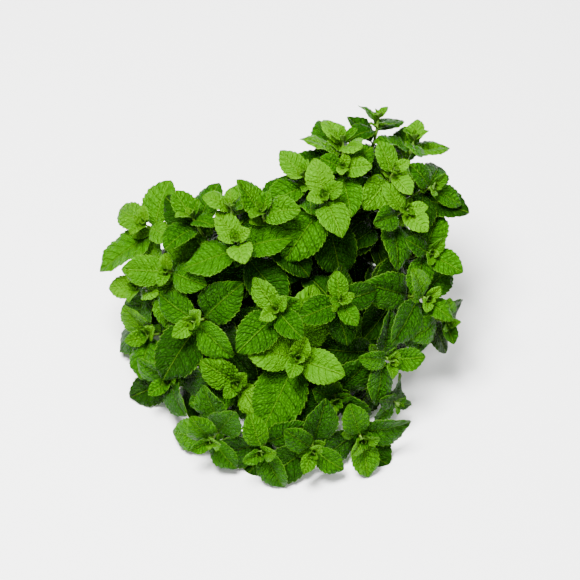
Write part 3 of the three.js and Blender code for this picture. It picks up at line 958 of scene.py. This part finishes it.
def mint_leaf():
    """Fresh spearmint leaf: a waxy green skin, puffed up between its veins, paler and duller underneath."""
    material, tree = new_material("fresh_mint_leaf")
    place = add(tree, "UVMap", uv_map="place")
    skin = add(tree, "UVMap", uv_map="skin")
    look = add(tree, "Attribute", attribute_name="look", attribute_type="GEOMETRY")
    parts = add(tree, "SeparateColor", {0: look.outputs["Color"]})
    age, tone, beneath = parts.outputs[:3]
    where = add(tree, "SeparateXYZ", {0: place})
    side = add(tree, "Math", {0: where.outputs[1], 1: 2.0, 2: -1.0}, **TIMES_PLUS)
    out = add(tree, "Math", {0: side}, **SIZE)
    on_skin = add(tree, "SeparateXYZ", {0: skin})
    across = add(tree, "Math", {0: on_skin.outputs[1], 1: MAP_UNIT}, **TIMES)
    from_rib = add(tree, "Math", {0: across}, **SIZE)

    # Side veins, as in vein_phase().
    bent = add(tree, "Math", {0: out, 1: VEIN_BEND}, operation="POWER")
    sweep = add(tree, "Math", {0: bent, 1: VEIN_SWEEP, 2: VEINS_FROM}, **TIMES_PLUS)
    start = add(tree, "Math", {0: where.outputs[0], 1: sweep}, **MINUS)
    right_half = add(tree, "Math", {0: side, 1: 0.0}, operation="GREATER_THAN")
    step = add(tree, "Math", {0: right_half, 1: SIDE_STEP}, **TIMES)
    phase = add(tree, "Math", {0: start, 1: VEIN_PAIRS / VEINS_OVER, 2: step}, **TIMES_PLUS)
    from_vein = add(tree, "Math", {0: phase, 1: 0.5}, operation="PINGPONG")
    inside = add(tree, "MapRange", {0: out, 1: 0.8, 2: 1.0, 3: 1.0, 4: 0.15}, **SOFT)
    vein_line = add(tree, "MapRange", {0: from_vein, 1: 0.0, 2: VEIN_REACH, 3: 1.0, 4: 0.0}, **SOFT)
    vein = add(tree, "Math", {0: vein_line, 1: inside}, **TIMES)
    rib = add(tree, "MapRange", {0: from_rib, 1: 0.15, 2: RIB_REACH, 3: 1.0, 4: 0.0}, **SOFT)
    rib_line = add(tree, "MapRange", {0: from_rib, 1: 0.1, 2: RIB_LINE, 3: 1.0, 4: 0.0}, **SOFT)

    # The net between them runs with the side veins, and a finer net lies in its cells.
    cells_to_vein = LOOK_LENGTH * VEINS_OVER / VEIN_PAIRS / NET_CELL
    spacing = add(tree, "Math", {0: look.outputs["Alpha"], 1: cells_to_vein}, **TIMES)
    row = add(tree, "Math", {0: phase, 1: spacing}, **TIMES)
    own_start = add(tree, "Math", {0: tone, 1: 90.0}, **TIMES)
    column = add(tree, "Math", {0: across, 1: 1 / NET_CELL, 2: own_start}, **TIMES_PLUS)
    cell = add(tree, "CombineXYZ", {0: row, 1: column})
    wobble = add(tree, "TexNoise", {"Vector": cell, "Scale": 1.1, "Detail": 1.0})
    shift = add(tree, "VectorMath", {0: wobble.outputs["Color"], "Scale": 0.7}, operation="SCALE")
    moved = add(tree, "VectorMath", {0: cell, 1: shift}, operation="ADD")
    net = add(tree, "TexVoronoi", {"Vector": moved, "Scale": 1.0, "Randomness": 0.9}, **CELLS)
    fine = add(tree, "TexVoronoi", {"Vector": moved, "Scale": NET_FINER}, **CELLS)
    puff = add(tree, "MapRange", {0: net, 1: 0.0, 2: 0.36, 3: 0.0, 4: 1.0}, **SOFT)
    crease = add(tree, "MapRange", {0: net, 1: 0.0, 2: 0.13, 3: 1.0, 4: 0.0}, **SOFT)
    fine_puff = add(tree, "MapRange", {0: fine, 1: 0.0, 2: 0.3, 3: 0.0, 4: 1.0}, **SOFT)

    # Young leaves are bright yellow-green and smoother, old ones dark. The same grade also holds painted
    # shade, which makes leaves deep in the bunch and low down darker.
    patches = add(tree, "TexNoise", {"Vector": skin, "Scale": PATCHES, "Detail": 3.0})
    patchy = add(tree, "Math", {0: patches, 1: 0.5}, **MINUS)
    grade = add(tree, "Math", {0: patchy, 1: 0.35, 2: age}, **TIMES_PLUS)
    own_grade = add(tree, "Math", {0: tone, 1: 0.3, 2: -0.15}, **TIMES_PLUS)
    grade = add(tree, "Math", {0: grade, 1: own_grade}, **PLUS)
    ramp = add(tree, "ValToRGB", {0: grade})
    stops = ramp.color_ramp.elements
    for position in list(GREENS)[1:-1]:
        stops.new(position)
    for stop, hex_value in zip(stops, GREENS.values()):
        stop.color = colour(hex_value)
    # Painted shade: the creases of the net and the sunken side veins on top are darkened, more on older, more
    # puffed leaves.
    crease_shade_strength = add(tree, "MapRange", {0: age, 1: 0.0, 2: 0.6, 3: 0.3, 4: 0.75}, **SOFT)
    crease_shade_share = add(tree, "Math", {0: crease, 1: crease_shade_strength}, **TIMES)
    upper = add(tree, "Mix", {0: crease_shade_share, 6: ramp, 7: colour("#081d00")}, **BLEND)
    vein_shade_share = add(tree, "Math", {0: vein, 1: crease_shade_strength}, **TIMES)
    upper = add(tree, "Mix", {0: vein_shade_share, 6: upper, 7: colour("#0a2400")}, **BLEND)
    rib_share = add(tree, "Math", {0: rib_line, 1: 0.35}, **TIMES)
    upper = add(tree, "Mix", {0: rib_share, 6: upper, 7: colour("#6c9420")}, **BLEND)
    # Painted highlight: the edge of the top is made paler, as where light catches the rim.
    edge_highlight_share = add(tree, "MapRange", {0: out, 1: 0.95, 2: 0.995, 3: 0.0, 4: 0.4}, **SOFT)
    upper = add(tree, "Mix", {0: edge_highlight_share, 6: upper, 7: colour("#6a9a28")}, **BLEND)
    under_crease = add(tree, "Math", {0: crease, 1: 0.25}, **TIMES)
    lower = add(tree, "Mix", {0: under_crease, 6: colour("#5c8830"), 7: colour("#3f671d")}, **BLEND)
    under_vein = add(tree, "Math", {0: vein, 1: rib}, operation="MAXIMUM")
    under_vein = add(tree, "Math", {0: under_vein, 1: 0.5}, **TIMES)
    lower = add(tree, "Mix", {0: under_vein, 6: lower, 7: colour("#86a852")}, **BLEND)
    paint = add(tree, "Mix", {0: beneath, 6: upper, 7: lower}, **BLEND)

    # Wax makes the top satin, and fine down makes the underside dull.
    rough = add(tree, "MapRange", {0: beneath, 1: 0.0, 2: 1.0, 3: 0.38, 4: 0.62})
    rough = add(tree, "Math", {0: patchy, 1: 0.25, 2: rough}, **TIMES_PLUS)
    smooth_share = add(tree, "MapRange", {0: age, 1: 0.0, 2: 0.35, 3: 0.55, 4: 1.0}, **SOFT)
    relief = add(tree, "Math", {0: puff, 1: smooth_share}, **TIMES)
    relief = add(tree, "Math", {0: fine_puff, 1: 0.12, 2: relief}, **TIMES_PLUS)
    relief = add(tree, "Math", {0: vein, 1: -0.6, 2: relief}, **TIMES_PLUS)
    relief = add(tree, "Math", {0: rib, 1: -0.9, 2: relief}, **TIMES_PLUS)
    turned = add(tree, "Math", {0: beneath, 1: -1.6, 2: 1.0}, **TIMES_PLUS)
    height = add(tree, "Math", {0: relief, 1: turned}, **TIMES)
    bump = add(tree, "Bump", {"Height": height, "Distance": 0.0007})
    wax = {"IOR": 1.43, "Specular IOR Level": 0.12, "Specular Tint": colour("#d8f0a0")}
    shader = add(tree, "BsdfPrincipled", {"Base Color": paint, "Roughness": rough, "Normal": bump, **wax})
    glow = add(tree, "Mix", {0: 0.5, 6: paint, 7: colour("#68a000")}, **BLEND)
    through = add(tree, "BsdfTranslucent", {"Color": glow, "Normal": bump})
    both = add(tree, "MixShader", {0: 0.2, 1: shader, 2: through})
    add(tree, "OutputMaterial", {0: both})
    return material


# Streaks of colour and fibres in the bark: how many lie side by side round a stem, and their length in mm.
STREAKS_AROUND = 6.0
STREAK_LENGTH = 10.0
STREAK_SCALE = 2.0
FIBRES_AROUND = 16.0
FIBRE_LENGTH = 50.0


def mint_stem():
    """Fresh mint stem: smooth ribbed bark, green or flushed purple-brown, with a pale wet cut."""
    material, tree = new_material("fresh_mint_stem")
    place = add(tree, "UVMap", uv_map="place")
    look = add(tree, "Attribute", attribute_name="look", attribute_type="GEOMETRY")
    parts = add(tree, "SeparateColor", {0: look.outputs["Color"]})
    down, tone, cut = parts.outputs[:3]
    node = look.outputs["Alpha"]
    streak = (STREAKS_AROUND / STREAK_SCALE, MAP_UNIT / STREAK_LENGTH / STREAK_SCALE, 1.0)
    stretch = add(tree, "VectorMath", {0: place, 1: streak}, operation="MULTIPLY")
    own_place = add(tree, "CombineXYZ", {2: add(tree, "Math", {0: tone, 1: 40.0}, **TIMES)})
    spot = add(tree, "VectorMath", {0: stretch, 1: own_place}, operation="ADD")
    streaks = add(tree, "TexNoise", {"Vector": spot, "Scale": STREAK_SCALE, "Detail": 4.0})
    fibre = (FIBRES_AROUND, MAP_UNIT / FIBRE_LENGTH, 1.0)
    fibres = add(tree, "VectorMath", {0: place, 1: fibre}, operation="MULTIPLY")
    ribs = add(tree, "TexNoise", {"Vector": fibres, "Scale": 1.0, "Detail": 1.0})

    # The flush is strongest low down, at the nodes, and on some of the stems.
    flush = add(tree, "Math", {0: tone, 1: 0.6, 2: -0.42}, **TIMES_PLUS)
    flush = add(tree, "Math", {0: down, 1: 0.5, 2: flush}, **TIMES_PLUS)
    flush = add(tree, "Math", {0: node, 1: 0.35, 2: flush}, **TIMES_PLUS)
    streaky = add(tree, "Math", {0: streaks, 1: 1.6, 2: -0.8}, **TIMES_PLUS)
    flush = add(tree, "Math", {0: flush, 1: streaky}, **PLUS)
    share = add(tree, "MapRange", {0: flush, 1: 0.0, 2: 0.75, 3: 0.0, 4: 0.85}, **SOFT)
    green = add(tree, "Mix", {0: down, 6: colour("#578021"), 7: colour("#4a6a22")}, **BLEND)
    bark = add(tree, "Mix", {0: share, 6: green, 7: colour("#43201c")}, **BLEND)
    paint = add(tree, "Mix", {0: cut, 6: bark, 7: colour("#a3b36c")}, **BLEND)
    bump = add(tree, "Bump", {"Height": ribs, "Distance": 0.0002, "Strength": 0.5})
    surface = {"Base Color": paint, "Roughness": 0.42, "Normal": bump, "IOR": 1.43, "Specular IOR Level": 0.3}
    shader = add(tree, "BsdfPrincipled", surface)
    add(tree, "OutputMaterial", {0: shader})
    return material


# Sizes in the rubber, in metres: its powdery grain and its clouds.
RUBBER_GRAIN = 0.0008
RUBBER_CLOUD = 0.009


def natural_rubber():
    """Natural rubber, extruded and cut: tan, cloudy and dull, with a fine powdery grain."""
    material, tree = new_material("natural_rubber")
    spot = add(tree, "TexCoord").outputs["Object"]
    grain = add(tree, "TexNoise", {"Vector": spot, "Scale": 1 / RUBBER_GRAIN, "Detail": 3.0})
    cloud = add(tree, "TexNoise", {"Vector": spot, "Scale": 1 / RUBBER_CLOUD, "Detail": 2.0})
    paint = add(tree, "Mix", {0: cloud, 6: colour("#62400f"), 7: colour("#805718")}, **BLEND)
    bump = add(tree, "Bump", {"Height": grain, "Distance": 0.00008})
    surface = {"Base Color": paint, "Roughness": 0.58, "Normal": bump, "IOR": 1.52, "Specular IOR Level": 0.3}
    shader = add(tree, "BsdfPrincipled", surface)
    add(tree, "OutputMaterial", {0: shader})
    return material


# The rubber band


# Points round the band and round its section, how far and how often it is pulled in between the stems, how
# rounded its edges and faces are, and its clearance from the floor.
BAND_AROUND = 180
BAND_PROFILE = 20
BAND_PULL = 0.16
BAND_PULLS = 18
BAND_EDGE_POWER = 0.35
BAND_FACE_POWER = 0.55
BAND_LOWEST = 0.02


def add_band(skin):
    """A flat band with rounded edges that hugs the stems, pulled in a little between them."""
    around, profile = BAND_AROUND, BAND_PROFILE
    outer = BAND_INNER_RADIUS + BAND_THICKNESS
    middle = outer - BAND_THICKNESS / 2
    points, place = [], []
    for i in range(around):
        turn = 2 * math.pi * i / around
        across = TAIL_SIDE * math.cos(turn) + np.array([0, 0, 1.0]) * math.sin(turn)
        pull = BAND_PULL * math.cos(BAND_PULLS * turn) - BAND_PULL
        for k in range(profile):
            a = 2 * math.pi * k / profile
            wide = np.sign(math.cos(a)) * abs(math.cos(a)) ** BAND_EDGE_POWER * BAND_WIDTH / 2
            thick = np.sign(math.sin(a)) * abs(math.sin(a)) ** BAND_FACE_POWER * BAND_THICKNESS / 2
            point = TIE + across * (middle + pull + thick) + TAIL * wide
            point[2] = max(point[2], BAND_LOWEST)
            points.append(point)
            place.append((i / around, k / profile))
    faces = []
    for i in range(around):
        for k in range(profile):
            j, m = (i + 1) % around, (k + 1) % profile
            faces.append([i * profile + k, j * profile + k, j * profile + m, i * profile + m])
    look = np.tile([0.5, 0.5, 0.0, 1.0], (len(points), 1))
    skin.add(np.array(points), faces, np.array(place), np.array(place), look, np.zeros(len(points), int), 0)


# Camera, light and floor

CLIP = (0.05, 50)
FLOOR_REACH = 6.0
SKY_STRENGTH = 0.38

# Lamps: azimuth and elevation in degrees, distance and size in metres, and power in watts.
LAMPS = {"key": (-50, 76, 1.6, 0.6, 130), "fill": (30, 45, 1.9, 1.4, 9), "back": (160, 60, 1.8, 1.2, 18)}
LAMPS_AIM = Vector((0, -0.03, 0.06))


def put(name, data):
    """Adds an object to the scene."""
    made = bpy.data.objects.new(name, data)
    bpy.context.scene.collection.objects.link(made)
    return made


def place_camera():
    camera = bpy.data.cameras.new("camera")
    camera.lens, camera.sensor_width = LENS, SENSOR
    camera.clip_start, camera.clip_end = CLIP
    seen = put("camera", camera)
    aim = TIE + RIGHT * PICTURE_MIDDLE[0] + UPWARD * PICTURE_MIDDLE[1] + TOWARDS * PICTURE_DEPTH
    distance = PICTURE_WIDTH * LENS / SENSOR
    seen.location = (aim + TOWARDS * distance + OFFSET) * MM
    seen.rotation_euler = (math.pi / 2 - SIGHT, 0, 0)
    bpy.context.scene.camera = seen


def area_light(name, azimuth, elevation, distance, size, power):
    """A square lamp that faces the bunch."""
    light = bpy.data.lights.new(name, "AREA")
    light.size, light.energy = size, power
    lamp = put(name, light)
    a, e = azimuth * DEG, elevation * DEG
    way = Vector((math.sin(a) * math.cos(e), -math.cos(a) * math.cos(e), math.sin(e)))
    lamp.location = way * distance + LAMPS_AIM
    lamp.rotation_euler = way.to_track_quat("Z", "Y").to_euler()


def studio():
    """A pale sky, the lamps, and a plain pale floor."""
    world = bpy.data.worlds.new("studio")
    world.use_nodes = True
    sky = world.node_tree.nodes["Background"]
    sky.inputs["Color"].default_value = colour("#f4f6f8")
    sky.inputs["Strength"].default_value = SKY_STRENGTH
    bpy.context.scene.world = world
    for name, settings in LAMPS.items():
        area_light(name, *settings)
    material, tree = new_material("matt_white_board")
    shader = add(tree, "BsdfPrincipled", {"Base Color": colour("#fdfdfc"), "Roughness": 0.9})
    add(tree, "OutputMaterial", {0: shader})
    mesh = bpy.data.meshes.new("floor")
    reach = FLOOR_REACH
    corners = [(-reach, -reach, 0), (reach, -reach, 0), (reach, reach, 0), (-reach, reach, 0)]
    mesh.from_pydata(corners, [], [(0, 1, 2, 3)])
    mesh.materials.append(material)
    floor = put("floor", mesh)


def show(name, skin, materials, node_name):
    """Shows a mesh in place of a CAD node, on the only body."""
    piece = put(name, skin.mesh(name, materials))
    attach(piece, "root")
    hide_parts(node_name)


# The bunch

# What chance starts from for the fine shapes of a sprig.
FINE_SEED = 9000
FINE_SEED_SPREAD = 100000

# How old the leaves of each of PAIRS look: 0 is young and 1 is old. Sprigs differ in it, and the large one in
# the middle of the head is the brightest.
AGES = [0.24, 0.42, 0.6, 0.74, 0.86]
AGE_SPREAD = 0.4
AGE_MIDDLE = 0.35
OWN_AGES = {"sprig_01": -0.22, "sprig_02": 0.1}

# A leaf is graded darker, as painted shade, for each mm that it lies further than the start under the dome of
# the tips, and where it lies lower than the height above the floor. Both are taken at this place along it.
DEPTH_SHADE = 0.008
DEPTH_START = 12.0
LOW_SHADE = 0.24
LOW_HEIGHT = 70.0
MEASURED_AT = 0.6

place_camera()
leaf_material, stem_material, rubber_material = mint_leaf(), mint_stem(), natural_rubber()
room = Room()
for name, row, stem, leaves, draw in grown():
    chance = draws(FINE_SEED + int(next(draw) * FINE_SEED_SPREAD))
    own_age = OWN_AGES.get(name, AGE_SPREAD * (next(chance) - AGE_MIDDLE))
    skin = Skin()
    add_stem(skin, stem, row, chance)
    for leaf in leaves:
        leaf.look["age"] = AGES[leaf.look["level"]] + own_age
    young = bud_leaves(stem, row, chance) + axil_leaves(stem, row, chance, room)
    older = hidden_leaves(stem, row, chance, room)
    for leaf in leaves + young + older:
        place = leaf.points(MEASURED_AT, 0, 0)
        depth = DOME_RADIUS - np.linalg.norm(place - TIE)
        # Painted shade: leaves deep under the dome of the tips and low down are graded darker.
        leaf.look["age"] += DEPTH_SHADE * max(0, depth - DEPTH_START)
        leaf.look["age"] += LOW_SHADE * max(0, 1 - place[2] / LOW_HEIGHT)
        add_leaf(skin, leaf, chance)
    show("mint_" + name, skin, [leaf_material, stem_material], name)
band = Skin()
add_band(band)
show("tan_rubber_band", band, [rubber_material], "rubber_band")
studio()
